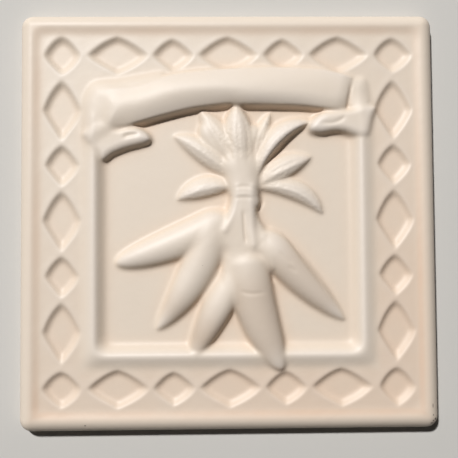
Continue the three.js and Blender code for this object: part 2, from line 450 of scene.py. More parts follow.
@dataclass(frozen=True)
class LozengeBand:
    """The row of pockets that runs round the band, large and small in turn."""

    line: float = 60.5
    depth: float = 1.5
    wall: float = 1.5
    gentler: float = 0.8
    drawn_out: float = 0.8
    arching: float = 0.1
    gentle_side: tuple[float, float] = (0.75, -0.66)
    lip: float = 0.08
    lip_width: float = 1.0
    lip_out: float = 0.5
    lip_reach: float = 3.0
    order: tuple[Lozenge, ...] = (
        Lozenge.LARGE, Lozenge.SMALL, Lozenge.LARGE, Lozenge.SMALL, Lozenge.LARGE, Lozenge.CORNER,
    )

    def pocket(self, kind: Lozenge, along: np.ndarray, across: np.ndarray,
               leaning: np.ndarray, upward: np.ndarray) -> np.ndarray:
        """Depths of one pocket.

        Args:
            kind: Which lozenge it is.
            along: Places along the band, from the pocket's middle.
            across: Places across the band, from the pocket's middle.
            leaning: Share, from 0 to 1, by which each place lies on the gentler wall.
            upward: From -1 at the pocket's acute bottom corner to 1 at its arched top.

        Returns:
            The depths below the band, negative on the soft lip round the pocket.
        """
        length, width, squareness = kind.value
        p = squareness + self.arching * upward
        size = (np.abs(along / length) ** p + np.abs(across / width) ** p) ** (1.0 / p)
        inside = (1.0 - size) * length * width / math.hypot(length, width)
        lip = self.lip * np.exp(-((inside + self.lip_out) / self.lip_width) ** 2)
        run = self.wall * (1.0 + self.gentler * leaning)
        return self.depth * smooth_step((inside + self.drawn_out * leaning) / run) - lip

    def press(self, face: PressedFace) -> None:
        """Presses all the pockets into the face."""
        pitch = self.line / 3.0
        towards_x, towards_y = self.gentle_side
        for side in range(4):
            turn = side * math.pi / 2.0
            c, s = round(math.cos(turn)), round(math.sin(turn))
            for step, kind in enumerate(self.order, start=-2):
                on = step * pitch
                middle = np.array([on * c - self.line * s, on * s + self.line * c])
                here = face.around(middle[None, :], max(kind.value) + self.lip_reach)
                dx, dy = face.x[here] - middle[0], face.y[here] - middle[1]
                away = np.hypot(dx, dy) + 1e-6
                leaning = np.clip((towards_x * dx + towards_y * dy) / away, 0.0, 1.0) ** 2
                face.z[here] -= self.pocket(kind, dx * c + dy * s, dy * c - dx * s, leaning,
                                            dy / away)


@dataclass(frozen=True)
class SweptForm(Form):
    """A form that runs along a curve, swells and thins along it, and is round across it.

    Its ridge lies off the middle line by the lean, a share of the half width.
    """

    path: Points
    half: float
    height: float
    lift: float = 0.0
    lean: float = 0.0
    rise: float = 0.8

    @property
    def line(self) -> np.ndarray:
        """The form's middle line."""
        return arc_between(self.path)

    @property
    def reach(self) -> float:
        """How far the form and its fillet go from the middle line."""
        return self.half + FILLET_REACH

    @abstractmethod
    def swell(self, t: np.ndarray) -> np.ndarray:
        """Share of the half width at a share of the length."""

    def across(self, s: np.ndarray) -> np.ndarray:
        """Share of the height at a share of the half width."""
        return np.sqrt(1.0 - s * s)

    def heights(self, x: np.ndarray, y: np.ndarray) -> np.ndarray:
        """Heights of the form above the back.

        Args:
            x: Places across.
            y: Places up.

        Returns:
            The heights, falling steeply outside the form.
        """
        t, aside, distance = nearest_on(self.line, x, y)
        share = self.swell(t)
        width = np.maximum(self.half * share, 1e-3)
        from_ridge = np.clip(aside / width, -1.0, 1.0) - self.lean
        s = np.abs(from_ridge) / np.where(from_ridge > 0.0, 1.0 - self.lean, 1.0 + self.lean)
        top = FIELD_Z + self.lift * t + self.height * share ** self.rise * self.across(s)
        return top - EDGE_SLOPE * np.maximum(distance - width, 0.0)


@dataclass(frozen=True)
class Carrot(SweptForm):
    """A carrot: a round crown, then a long taper to its tip."""

    taper: float = 0.66
    start: float = 1.9
    crown: float = 0.2
    blend: float = 1.2
    # Share of darker colour painted on the body, over the stretch of its length given below.
    darkened: float = 0.0
    darkened_over: tuple[float, float] = (0.0, 1.0)
    pale_tip: float = 0.25

    def darkening(self, x: np.ndarray, y: np.ndarray) -> np.ndarray:
        """Share of the darker colour painted on the carrot's body; its tip stays pale."""
        t, _, _ = nearest_on(self.line, x, y)
        return self.darkened * risen(t, *self.darkened_over) * risen(t, 1.0, -self.pale_tip)

    def swell(self, t: np.ndarray) -> np.ndarray:
        """Share of the half width at a share of the length."""
        head = np.sqrt(1.0 - (1.0 - np.minimum(t, self.crown) / self.crown) ** 2)
        beyond = np.clip((t - self.crown) / (1.0 - self.crown), 0.0, 1.0)
        return np.where(t < self.crown, head, (1.0 - beyond ** self.start) ** self.taper)


@dataclass(frozen=True)
class Leaf(SweptForm):
    """A pointed leaf with grooved veins that grows out of the neck of the bunch."""

    blend: float = 0.6
    widest: float = 1.2
    fullness: float = 0.8
    ridge: float = 0.15
    foot_length: float = 0.3
    foot_width: float = 0.42
    vein_places: tuple[float, ...] = (-0.55, 0.0, 0.55)
    vein_samples: tuple[int, ...] = (14, 20, 26, 32, 38, 44)
    vein_width: float = 0.4
    vein_depth: float = 0.27

    @property
    def veins(self) -> tuple[Stroke, ...]:
        """Grooves along the blade, at shares of its half width."""
        line = self.line
        steps = np.gradient(line, axis=0)
        aside = np.stack([-steps[:, 1], steps[:, 0]], axis=1)
        aside /= np.hypot(*steps.T)[:, None]
        width = self.half * self.swell(np.linspace(0.0, 1.0, len(line)))
        tracks = [line + aside * (width * place)[:, None] for place in self.vein_places]
        return tuple(Stroke(tuple(tuple(track[i]) for i in self.vein_samples), self.vein_width,
                            self.vein_depth) for track in tracks)

    def swell(self, t: np.ndarray) -> np.ndarray:
        """Share of the half width at a share of the length."""
        blade = np.sin(math.pi * t ** self.widest) ** self.fullness
        return np.maximum(blade, np.where(t < self.foot_length, self.foot_width, 0.0))

    def across(self, s: np.ndarray) -> np.ndarray:
        """Share of the height at a share of the half width; the blade has a soft ridge."""
        return (1.0 - self.ridge) * np.sqrt(1.0 - s * s) + self.ridge * (1.0 - s)


@dataclass(frozen=True)
class Stem(SweptForm):
    """A cut stem between the tie and a carrot."""

    blend: float = 1.4
    waist: float = 0.75
    waist_at: float = 0.3
    flare: float = 0.5
    tip: float = 0.15

    def swell(self, t: np.ndarray) -> np.ndarray:
        """Share of the half width at a share of the length."""
        body = self.waist + self.flare * (t - self.waist_at) ** 2
        return body * np.sqrt(np.clip((1.0 - t) / self.tip, 0.0, 1.0))


@dataclass(frozen=True)
class Band(SweptForm):
    """The cord that ties the bunch, laid across its neck."""

    blend: float = 1.8
    end: float = 0.02
    roundness: float = 0.25

    def swell(self, t: np.ndarray) -> np.ndarray:
        """Share of the half width at a share of the length."""
        return np.sin(math.pi * np.clip(t, self.end, 1.0 - self.end)) ** self.roundness


@dataclass(frozen=True)
class Cloth(Form):
    """A pillowed piece inside a closed outline, such as a fold, a tail or the neck of stems."""

    outline: Points
    seat: float
    top: float
    run: float
    fullness: float = 0.5
    blend: float = 1.6

    @property
    def line(self) -> np.ndarray:
        """The outline as a smooth closed curve."""
        return curve_through(self.outline, 4, closed=True)

    def heights(self, x: np.ndarray, y: np.ndarray) -> np.ndarray:
        """Heights of the piece, rounded at its edge and flat in its middle.

        Args:
            x: Places across.
            y: Places up.

        Returns:
            The heights above the back.
        """
        depth = depth_inside(self.line, x, y)
        share = np.clip(1.0 - depth / self.run, 0.0, 1.0)
        pillow = self.seat + (self.top - self.seat) * (1.0 - share * share) ** self.fullness
        return np.where(depth > 0.0, pillow, self.seat + EDGE_SLOPE * depth)


@dataclass(frozen=True)
class Ribbon(Form):
    """The blank ribbon: a rounded lower side over a steep edge, and a long slope above it.

    Its lower side rolls over more slowly on the left, and its upper edge lies higher there. A
    pair is the place where such a change starts and its run.
    """

    lower: Points = (
        (-47.5, 44.0), (-46.2, 39.0), (-44.6, 34.6), (-42.6, 33.3), (-40.3, 33.7),
        (-34.6, 34.9), (-23.6, 38.0), (-12.7, 40.6), (-0.7, 42.0), (6.8, 41.8),
        (15.9, 41.7), (27.3, 41.3), (35.6, 40.4), (42.9, 40.0),
    )
    upper: Points = (
        (-47.5, 44.0), (-46.7, 46.3), (-44.9, 47.6), (-41.3, 48.1), (-34.6, 48.4),
        (-29.4, 49.7), (-24.3, 51.8), (-19.1, 53.2), (-10.0, 54.4), (0.1, 55.1),
        (16.2, 55.6), (32.4, 55.0), (38.8, 53.9), (45.8, 52.0),
    )
    crest_z: float = 11.2
    crest_x: float = -8.0
    sag: float = 1.7
    sag_over: float = 53.0
    lower_z: float = 8.7
    lower_run: float = 5.4
    lower_roundness: float = 2.2
    rolled_run: float = 3.6
    rolled_from: tuple[float, float] = (12.0, -32.0)
    rolled_to: tuple[float, float] = (-47.0, 12.0)
    upper_z: float = 8.8
    upper_run: float = 8.5
    left_z: float = 9.2
    left_from: tuple[float, float] = (-17.0, -10.0)
    end_run: float = 4.5
    end_drop: float = 1.0
    blend: float = 1.0

    @property
    def line(self) -> np.ndarray:
        """The ribbon's lower edge, then its upper edge."""
        return np.vstack([curve_through(self.lower), curve_through(self.upper)])

    def heights(self, x: np.ndarray, y: np.ndarray) -> np.ndarray:
        """Heights of the ribbon's face.

        Args:
            x: Places across.
            y: Places up.

        Returns:
            The heights above the back.
        """
        _, above, _ = nearest_on(curve_through(self.lower), x, y)
        _, beyond, _ = nearest_on(curve_through(self.upper), x, y)
        right_end = np.array([self.upper[-1], self.lower[-1]], float)
        _, past, _ = nearest_on(right_end, x, y)
        below, inwards = -beyond, -past
        crest = self.crest_z - self.sag * ((x - self.crest_x) / self.sag_over) ** 2
        rolled = risen(x, *self.rolled_from) * risen(x, *self.rolled_to)
        lower_run = self.lower_run + self.rolled_run * rolled
        upper_z = self.upper_z + (self.left_z - self.upper_z) * risen(x, *self.left_from)
        low = (1.0 - np.clip(above / lower_run, 0.0, 1.0)) ** self.lower_roundness
        high = (1.0 - np.clip(below / self.upper_run, 0.0, 1.0)) ** 2.0
        end = (1.0 - np.clip(inwards / self.end_run, 0.0, 1.0)) ** 2.0
        top = crest - (crest - self.lower_z) * low - (crest - upper_z) * high - self.end_drop * end
        outside = np.maximum(np.maximum(-above, -below), np.maximum(-inwards, 0.0))
        return top - EDGE_SLOPE * outside


@dataclass(frozen=True)
class RibbonWork:
    """The ribbon with the folds behind its two ends and the tails that come out of them."""

    face: Ribbon = Ribbon()
    left_fold: Cloth = Cloth((
        (-51.6, 28.0), (-52.3, 41.0), (-51.4, 46.4), (-49.4, 49.8), (-45.6, 51.0),
        (-39.9, 51.6), (-32.1, 52.9), (-23.3, 53.9), (-26.0, 47.0), (-42.0, 31.0),
    ), seat=6.6, top=9.2, run=4.6, fullness=0.8)
    right_fold: Cloth = Cloth((
        (44.4, 40.0), (45.4, 50.0), (47.6, 51.4), (50.6, 50.8), (51.6, 42.0), (52.0, 37.0),
    ), seat=7.1, top=8.3, run=3.2, fullness=0.8)
    left_tail: Cloth = Cloth((
        (-53.0, 31.0), (-51.6, 33.6), (-47.5, 36.4), (-43.4, 35.8), (-40.2, 33.8),
        (-36.7, 34.2), (-33.1, 34.0), (-29.5, 31.9), (-28.2, 29.3), (-29.8, 28.0),
        (-32.2, 27.3), (-37.4, 25.9), (-42.0, 24.0), (-45.3, 21.7), (-47.8, 24.0),
        (-50.4, 27.6),
    ), seat=6.6, top=8.9, run=2.8, blend=1.4)
    right_tail: Cloth = Cloth((
        (54.4, 41.0), (50.0, 42.0), (45.0, 40.6), (40.0, 40.1), (35.0, 39.3),
        (31.6, 37.1), (29.7, 34.2), (30.4, 32.0), (34.0, 31.3), (39.0, 32.0),
        (43.0, 31.6), (47.5, 30.0), (51.4, 30.6), (53.0, 36.0),
    ), seat=6.6, top=9.1, run=2.8, blend=1.4)
    creases: tuple[Stroke, ...] = (
        Stroke(((-38.6, 29.8), (-36.0, 30.8), (-31.6, 31.4)), 0.7, 0.5),
        Stroke(((45.4, 50.5), (44.5, 46.0), (43.2, 41.5)), 0.5, 0.4),
        Stroke(((33.0, 35.0), (38.0, 35.0), (41.5, 36.4), (43.4, 38.6)), 0.6, 0.35),
    )
    soft_spots: tuple[SoftSpot, ...] = (
        SoftSpot((-47.6, 44.4), (6.5, 8.0), 1.3),
        SoftSpot((48.4, 46.5), (4.5, 7.0), 1.1),
    )

    @property
    def forms(self) -> tuple[Form, ...]:
        """The ribbon's raised parts, from the lowest to the highest."""
        return (self.left_fold, self.right_fold, self.face, self.left_tail, self.right_tail)


@dataclass(frozen=True)
class CarrotBunch:
    """Five carrots, the neck of cut stems under the tie, and eight leaves.

    The fan joins the leaves above the tie; the web, the valley and the saddle fill the hollows
    between the carrots.
    """

    neck: Cloth = Cloth((
        (0.6, 25.0), (-2.2, 20.0), (-0.6, 15.0), (0.6, 10.4), (0.6, 6.0), (-1.6, 1.4),
        (-5.0, -2.0), (-8.0, -6.0), (-3.0, -11.0), (3.0, -14.5), (9.0, -14.5), (13.0, -11.0),
        (14.4, -6.4), (11.3, -3.2), (10.3, -1.2), (9.9, 1.0), (10.2, 3.6), (11.2, 6.0),
        (10.9, 10.4), (10.8, 17.0), (9.0, 23.0), (5.0, 26.0),
    ), seat=6.8, top=9.4, run=4.4, blend=1.4)
    fan: Cloth = Cloth((
        (0.6, 9.0), (-1.6, 18.0), (-7.4, 25.0), (-10.5, 31.0), (-9.0, 36.0), (-4.0, 36.0),
        (1.0, 34.0), (7.0, 35.0), (11.5, 34.0), (15.0, 31.0), (12.0, 24.0), (11.0, 9.0),
    ), seat=6.1, top=8.3, run=5.5)
    web: Cloth = Cloth((
        (-2.4, -12.0), (2.0, -10.0), (6.0, -12.0), (8.0, -22.0), (6.0, -31.0), (1.4, -31.0),
        (-2.2, -27.0), (-3.2, -22.0), (-2.6, -16.0),
    ), seat=6.2, top=9.2, run=4.5, blend=2.0)
    valley: Cloth = Cloth((
        (-4.5, -17.5), (-2.4, -20.0), (-6.0, -27.5), (-9.4, -31.4), (-9.4, -28.0), (-6.6, -22.0),
    ), seat=5.7, top=6.8, run=1.5, blend=2.2)
    saddle: Cloth = Cloth((
        (9.0, -10.0), (13.0, -7.4), (18.0, -12.0), (17.4, -18.2), (14.6, -18.2), (10.4, -14.0),
    ), seat=6.4, top=9.4, run=3.6)
    stems: tuple[Stem, ...] = (
        Stem(((3.2, 12.0), (3.4, 2.0), (-3.4, -6.5)), 2.6, 4.5, lift=0.2),
        Stem(((8.4, 12.0), (7.6, 0.0), (9.4, -13.0)), 2.7, 4.7),
        Stem(((8.4, 5.0), (9.2, -2.0), (14.0, -7.5)), 2.6, 3.4),
    )
    carrots: tuple[Carrot, ...] = (
        Carrot(((1.0, 1.0), (-15.2, -8.4), (-41.0, -15.6)), 6.5, 4.4, taper=0.46),
        Carrot(((4.6, -16.4), (-4.7, -31.4), (-14.0, -51.4)), 5.7, 4.1, lift=0.8, crown=0.3,
               lean=0.2, taper=0.64, darkened=0.9, darkened_over=(0.3, 0.5)),
        Carrot(((11.0, -4.2), (22.1, -19.1), (42.0, -36.6)), 6.3, 4.7, start=1.8, crown=0.24,
               darkened=0.5, darkened_over=(0.1, 0.3)),
        Carrot(((-5.4, 0.2), (-8.0, -18.7), (-26.2, -39.6)), 7.1, 4.9, darkened=0.7,
               darkened_over=(0.5, 0.4)),
        Carrot(((6.8, -10.6), (6.4, -31.0), (19.0, -54.2)), 8.1, 5.0, lift=1.9, taper=0.49,
               start=1.8, crown=0.13, darkened=0.6, darkened_over=(0.05, 0.35)),
    )
    leaves: tuple[Leaf, ...] = (
        Leaf(((6.0, 12.0), (-8.0, 15.0), (-18.8, 7.4)), 3.9, 3.0, lean=0.3),
        Leaf(((6.5, 10.5), (-5.0, 25.5), (-20.0, 31.0)), 4.3, 3.0, lean=0.1),
        Leaf(((6.5, 12.0), (-1.5, 30.0), (-10.6, 40.6)), 5.0, 3.1),
        Leaf(((9.5, 14.0), (10.5, 29.0), (15.6, 39.4)), 2.9, 2.7),
        Leaf(((8.0, 9.5), (12.0, 34.8), (31.4, 36.2)), 3.5, 4.6, lean=-0.6),
        Leaf(((7.0, 10.5), (18.0, 20.0), (30.6, 23.0)), 4.4, 3.2, lean=-0.35),
        Leaf(((6.5, 11.4), (26.0, 16.0), (34.4, 2.0)), 3.7, 3.0, lean=-0.2),
        Leaf(((5.4, 9.0), (3.6, 28.0), (3.0, 43.0)), 6.0, 3.9, lift=1.0),
    )
    tie: Band = Band(((1.6, 9.4), (5.7, 9.9), (10.0, 9.4)), 2.3, 3.8)
    creases: tuple[Stroke, ...] = (
        Stroke(((1.0, 11.3), (5.6, 12.0), (10.2, 11.3)), 0.4, 0.2),
        Stroke(((1.0, 9.3), (5.6, 10.0), (10.2, 9.3)), 0.4, 0.16),
        Stroke(((1.0, 7.4), (5.6, 8.0), (10.2, 7.4)), 0.4, 0.2),
        Stroke(((5.2, 4.0), (5.5, 0.0), (5.8, -5.0), (6.2, -9.4)), 0.4, 0.55, 0.2),
        Stroke(((11.4, 10.0), (12.4, 6.6), (11.0, 3.0), (11.8, -0.6), (13.6, -3.6)), 0.5, 0.5),
        Stroke(((15.0, -18.6), (15.8, -21.0), (16.2, -23.6)), 0.6, 0.5, 0.4),
        Stroke(((18.7, -3.6), (22.4, -8.2), (27.0, -14.8), (31.0, -20.2), (36.0, -27.0)),
               0.45, 0.6),
        Stroke(((-6.0, 3.0), (-3.5, 2.8), (-1.0, 1.4)), 0.6, 0.4),
        Stroke(((3.1, -25.4), (7.4, -26.6), (13.8, -26.2)), 0.5, 0.22),
        Stroke(((17.5, -11.0), (20.4, -13.9), (23.5, -16.1)), 0.4, 0.2),
        Stroke(((21.0, -16.7), (24.6, -19.3)), 0.4, 0.2),
        Stroke(((-14.0, 10.0), (-8.0, 12.3), (0.0, 12.5)), 0.6, -0.3),
    )
    soft_spots: tuple[SoftSpot, ...] = (
        SoftSpot((4.8, 19.0), (9.0, 8.0), 1.3),
        SoftSpot((0.0, -9.5), (8.0, 6.0), 0.9),
    )
    leaf_shown: tuple[float, float] = (-0.6, 0.6)
    carrot_shown: tuple[float, float] = (-1.0, 0.8)
    darkening_softening: float = 0.6

    @property
    def forms(self) -> tuple[Form, ...]:
        """All the raised forms, in the order in which they are joined."""
        return (self.neck, self.fan, *self.leaves, *self.stems, self.web, self.valley,
                self.saddle, *self.carrots, self.tie)

    @property
    def strokes(self) -> tuple[Stroke, ...]:
        """The tool's grooves and ridges on the bunch."""
        return (*self.creases, *(vein for leaf in self.leaves for vein in leaf.veins))

    def foliage(self, face: PressedFace) -> np.ndarray:
        """Marks where the leaves are the top surface.

        Args:
            face: The face with the bunch on it.

        Returns:
            A layer of the face, 1 on the leaves and 0 elsewhere.
        """
        mask = np.zeros_like(face.z)
        for leaf in self.leaves:
            here = face.around(leaf.line, leaf.reach)
            above = leaf.heights(face.x[here], face.y[here]) - face.z[here]
            mask[here] = np.maximum(mask[here], risen(above, *self.leaf_shown))
        return mask

    def darkened_layer(self, face: PressedFace) -> np.ndarray:
        """Marks where the carrots' bodies are painted darker.

        Args:
            face: The face with the bunch on it.

        Returns:
            A layer of the face, from 0 for plain glaze to 1 for the darkest.
        """
        mask = np.zeros_like(face.z)
        for carrot in self.carrots:
            here = face.around(carrot.line, carrot.reach)
            x, y = face.x[here], face.y[here]
            seen = risen(carrot.heights(x, y) - face.z[here], *self.carrot_shown)
            mask[here] = mask[here] * (1.0 - seen) + carrot.darkening(x, y) * seen
        return face.softened(mask, self.darkening_softening)


# Finishes

def from_srgb(code: str) -> tuple[float, float, float, float]:
    """Turns an sRGB hex code to the linear colour that a shader takes.

    Args:
        code: Six hex digits with a leading hash.

    Returns:
        Red, green, blue and an alpha of 1.
    """
    shares = [int(code[i:i + 2], 16) / 255.0 for i in (1, 3, 5)]
    linear = [s / 12.92 if s <= 0.04045 else ((s + 0.055) / 1.055) ** 2.4 for s in shares]
    return (*linear, 1.0)


def per_metre(millimetres: float) -> float:
    """Gives a pattern's scale from the real size of one of its features."""
    return 1.0 / (millimetres * MM)


def add_node(tree: bpy.types.NodeTree, kind: str, settings: dict | None = None,
             **inputs: object) -> bpy.types.Node:
    """Adds a node, sets it up and links what it takes.

    Args:
        tree: The tree that the node goes in.
        kind: The node's type name.
        settings: Properties of the node.
        **inputs: Values or outputs for its inputs, by name with _ for a space, or by
            place as in0, in1.

    Returns:
        The new node.
    """
    node = tree.nodes.new(kind)
    for name, value in (settings or {}).items():
        setattr(node, name, value)
    for name, value in inputs.items():
        key = int(name[2:]) if name[:2] == "in" and name[2:].isdigit() else name.replace("_", " ")
        if isinstance(value, bpy.types.NodeSocket):
            tree.links.new(value, node.inputs[key])
        else:
            node.inputs[key].default_value = value
    return node


def new_material(name: str) -> tuple[bpy.types.Material, bpy.types.NodeTree, bpy.types.Node]:
    """Starts a node material with a lone surface shader.

    Args:
        name: The material's name.

    Returns:
        The material, its tree and its shader.
    """
    material = bpy.data.materials.new(name)
    material.use_nodes = True
    return material, material.node_tree, material.node_tree.nodes["Principled BSDF"]


@dataclass(frozen=True)
class Fleck:
    """A small brown spot or scuff in the glaze, seen from above."""

    place_mm: tuple[float, float]
    half_mm: tuple[float, float]
    strength: float
    tone: str = "#4A392C"
    core: float = 0.4
    fade: float = 1.3

    def paint(self, tree: bpy.types.NodeTree, place: bpy.types.NodeSocket,
              colour: bpy.types.NodeSocket) -> bpy.types.Node:
        """Paints the spot over a colour.

        Args:
            tree: The material's tree.
            place: The place on the object.
            colour: The colour under the spot.

        Returns:
            The node that mixes the two.
        """
        middle = Vector((*self.place_mm, 0.0)) * MM
        shrink = Vector((per_metre(self.half_mm[0]), per_metre(self.half_mm[1]), 0.0))
        offset = add_node(tree, "ShaderNodeVectorMath", {"operation": "SUBTRACT"},
                          in0=place, in1=middle).outputs["Vector"]
        scaled = add_node(tree, "ShaderNodeVectorMath", {"operation": "MULTIPLY"},
                          in0=offset, in1=shrink).outputs["Vector"]
        away = add_node(tree, "ShaderNodeVectorMath", {"operation": "LENGTH"},
                        in0=scaled).outputs["Value"]
        share = add_node(tree, "ShaderNodeMapRange", {"interpolation_type": "SMOOTHSTEP"},
                         Value=away, From_Min=self.core, From_Max=self.fade,
                         To_Min=self.strength, To_Max=0.0).outputs["Result"]
        return add_node(tree, "ShaderNodeMix", {"data_type": "RGBA"}, in0=share,
                        in6=colour, in7=from_srgb(self.tone))


@dataclass(frozen=True)
class SatinGlaze:
    """Warm white satin glaze over pale earthenware.

    It was dipped or sprayed and fired once more, so it pooled a little in the low places,
    where it looks warmer, and drew thin and white over the high ones; its colour also holds
    painted shade, darker and warmer in the hollows, and a painted highlight, whiter on the
    crests. The eye sees soft broad highlights, a very slight ripple, and a pink tint in the
    channel along the rim. The grain on the leaves is finer than a millimetre, and is drawn
    coarser so that it shows.
    """

    # From crest to hollow: thin glaze with a painted highlight, even glaze, pooled glaze with
    # painted shade.
    high: str = "#EBE0D5"
    even: str = "#E8DACA"
    pooled_and_shaded: str = "#E3D0BD"
    channel: str = "#E3C6AE"
    # Colour painted on the carrots' bodies to darken them.
    darkened: str = "#CDBBA9"
    roughness: float = 0.5
    uneven_by: float = 0.05
    cloud_mm: float = 26.0
    ripple_mm: float = 3.5
    ripple_depth_mm: float = 0.12
    grain_mm: float = 1.4
    grain_depth_mm: float = 0.45
    flecks: tuple[Fleck, ...] = (
        Fleck((74.3, -72.5), (0.45, 0.45), 0.9),
        Fleck((73.4, -73.0), (0.35, 0.3), 0.8),
        Fleck((72.9, -73.9), (0.7, 0.4), 0.5),
        Fleck((73.2, -67.6), (0.25, 0.9), 0.6),
        Fleck((73.3, -70.9), (0.25, 0.4), 0.6),
        Fleck((-51.8, -73.3), (0.4, 0.3), 0.6),
        Fleck((-9.5, -16.5), (0.25, 0.2), 0.22),
    )

    def material(self) -> bpy.types.Material:
        """Builds the glaze.

        Returns:
            The material.
        """
        made, tree, shader = new_material("satin_glaze_on_earthenware")
        place = add_node(tree, "ShaderNodeTexCoord").outputs["Object"]
        pooling_and_shading, rim, leaf, darkening = (
            add_node(tree, "ShaderNodeAttribute", {"attribute_name": layer}).outputs["Fac"]
            for layer in ("pooling_and_shading", "channel", "foliage", "darkening"))
        cloud = add_node(tree, "ShaderNodeTexNoise", Vector=place, Scale=per_metre(self.cloud_mm),
                         Detail=3.0).outputs["Fac"]
        # Painted highlight on the crests and painted shade in the hollows, over the glaze's real
        # thickness.
        ramp = add_node(tree, "ShaderNodeValToRGB", Fac=pooling_and_shading)
        ramp.color_ramp.elements[0].color = from_srgb(self.high)
        ramp.color_ramp.elements[1].color = from_srgb(self.pooled_and_shaded)
        middle = ramp.color_ramp.elements.new(0.5)
        middle.color = from_srgb(self.even)
        uneven = add_node(tree, "ShaderNodeMapRange", Value=cloud, From_Min=0.3, From_Max=0.7,
                          To_Min=0.55, To_Max=1.0).outputs["Result"]
        share = add_node(tree, "ShaderNodeMath", {"operation": "MULTIPLY"},
                         in0=rim, in1=uneven).outputs["Value"]
        tinted = add_node(tree, "ShaderNodeMix", {"data_type": "RGBA"}, in0=share,
                          in6=ramp.outputs["Color"], in7=from_srgb(self.channel))
        # Paints the carrots' bodies darker.
        tinted = add_node(tree, "ShaderNodeMix", {"data_type": "RGBA"}, in0=darkening,
                          in6=tinted.outputs[2], in7=from_srgb(self.darkened))
        for fleck in self.flecks:
            tinted = fleck.paint(tree, place, tinted.outputs[2])
        tree.links.new(tinted.outputs[2], shader.inputs["Base Color"])
        shader.inputs["IOR"].default_value = 1.5
        satin = add_node(tree, "ShaderNodeMapRange", Value=cloud,
                         To_Min=self.roughness - self.uneven_by,
                         To_Max=self.roughness + self.uneven_by).outputs["Result"]
        tree.links.new(satin, shader.inputs["Roughness"])
        ripple = add_node(tree, "ShaderNodeTexNoise", Vector=place,
                          Scale=per_metre(self.ripple_mm), Detail=2.0).outputs["Fac"]
        grain = add_node(tree, "ShaderNodeTexNoise", Vector=place,
                         Scale=per_metre(self.grain_mm), Detail=3.0).outputs["Fac"]
        rough_leaf = add_node(tree, "ShaderNodeMath", {"operation": "MULTIPLY"},
                              in0=grain, in1=leaf).outputs["Value"]
        fine = add_node(tree, "ShaderNodeBump", Height=ripple,
                        Distance=self.ripple_depth_mm * MM, Strength=0.5)
        coarse = add_node(tree, "ShaderNodeBump", Height=rough_leaf,
                          Distance=self.grain_depth_mm * MM, Strength=0.4,
                          Normal=fine.outputs["Normal"])
        tree.links.new(coarse.outputs["Normal"], shader.inputs["Normal"])
        return made


@dataclass(frozen=True)
class BareEarthenware:
    """Pale fired earthenware, pressed and left unglazed on the back and the foot.

    It is porous and dull, cream with faint specks, and it shows no highlight. The specks are
    finer than a millimetre, and are drawn coarser so that they show.
    """

    clay: str = "#D9CBB8"
    speck: str = "#C3B19B"
    speck_mm: float = 1.4
    grit_depth_mm: float = 0.2
    roughness: float = 0.85

    def material(self) -> bpy.types.Material:
        """Builds the bare clay.

        Returns:
            The material.
        """
        made, tree, shader = new_material("bare_earthenware")
        place = add_node(tree, "ShaderNodeTexCoord").outputs["Object"]
        grain = add_node(tree, "ShaderNodeTexNoise", Vector=place,
                         Scale=per_metre(self.speck_mm), Detail=4.0).outputs["Fac"]
        share = add_node(tree, "ShaderNodeMapRange", Value=grain, From_Min=0.55, From_Max=0.75)
        mixed = add_node(tree, "ShaderNodeMix", {"data_type": "RGBA"}, in0=share.outputs["Result"],
                         in6=from_srgb(self.clay), in7=from_srgb(self.speck))
        tree.links.new(mixed.outputs[2], shader.inputs["Base Color"])
        shader.inputs["Roughness"].default_value = self.roughness
        bump = add_node(tree, "ShaderNodeBump", Height=grain, Distance=self.grit_depth_mm * MM,
                        Strength=0.5)
        tree.links.new(bump.outputs["Normal"], shader.inputs["Normal"])
        return made


@dataclass(frozen=True)
class MattPaper:
    """Matt background paper, plain and pale, with no highlight."""

    tone: str = "#D2CFCA"
    roughness: float = 0.9

    def material(self) -> bpy.types.Material:
        """Builds the paper.

        Returns:
            The material.
        """
        made, _, shader = new_material("matt_background_paper")
        shader.inputs["Base Color"].default_value = from_srgb(self.tone)
        shader.inputs["Roughness"].default_value = self.roughness
        return made


def made_mesh(bm: bmesh.types.BMesh, name: str) -> bpy.types.Mesh:
    """Turns a finished shell into a mesh and lets the shell go.

    Args:
        bm: The shell.
        name: The mesh's name.

    Returns:
        The mesh.
    """
    mesh = bpy.data.meshes.new(name)
    bm.to_mesh(mesh)
    bm.free()
    return mesh


def placed(name: str, made: bpy.types.ID) -> bpy.types.Object:
    """Puts a mesh, lamp or camera in the scene.

    Args:
        name: The object's name.
        made: Its data.

    Returns:
        The object.
    """
    thing = bpy.data.objects.new(name, made)
    bpy.context.scene.collection.objects.link(thing)
    return thing


# The tile

